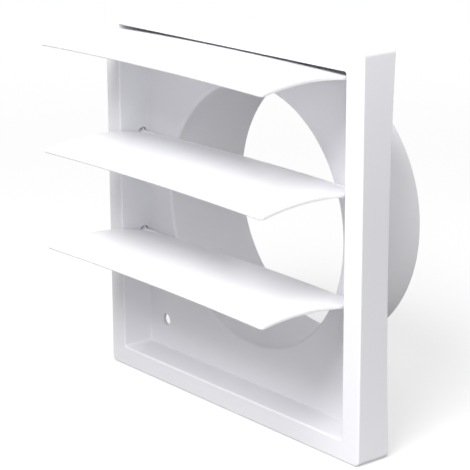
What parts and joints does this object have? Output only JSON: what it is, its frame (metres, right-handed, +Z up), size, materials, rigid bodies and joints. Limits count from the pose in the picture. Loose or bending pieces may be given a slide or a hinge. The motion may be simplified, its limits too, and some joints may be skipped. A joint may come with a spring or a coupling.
{
  "type": "backdraft vent grille",
  "caption": "White moulded gravity grille for a round duct: square frame, back plate and spigot, with curved louvre flaps that swing on end pins and close under their own weight.",
  "frame": {"origin": "on the axis of the duct spigot, in the plane of the wall, at the back of the frame", "axes": "+Y into the wall along the duct, +Z up, +X to the right as seen from the front"},
  "size_m": [0.14, 0.0815, 0.14],
  "materials": {
    "housing_plastic": "satin moulded white",
    "flap_plastic": "satin moulded white"
  },
  "bodies": {
    "housing": {"housing": "housing_plastic"},
    "top_flap": {"top_flap": "flap_plastic"},
    "middle_flap": {"middle_flap": "flap_plastic"},
    "bottom_flap": {"bottom_flap": "flap_plastic"}
  },
  "joints": [
    {"name": "top_flap_swing", "type": "hinge", "parent": "housing", "child": "top_flap", "pos_m": [0, -0.0036, 0.0584], "axis": [1, 0, 0], "range_deg": [0, 86]},
    {"name": "middle_flap_swing", "type": "hinge", "parent": "housing", "child": "middle_flap", "pos_m": [0, -0.0036, 0.0201], "axis": [1, 0, 0], "range_deg": [0, 84]},
    {"name": "bottom_flap_swing", "type": "hinge", "parent": "housing", "child": "bottom_flap", "pos_m": [0, -0.0036, -0.0182], "axis": [1, 0, 0], "range_deg": [0, 80.5]}
  ],
  "couplings": [
    {"joint": "middle_flap_swing", "follows": "top_flap_swing", "ratio": 0.9767},
    {"joint": "bottom_flap_swing", "follows": "top_flap_swing", "ratio": 0.936}
  ]
}
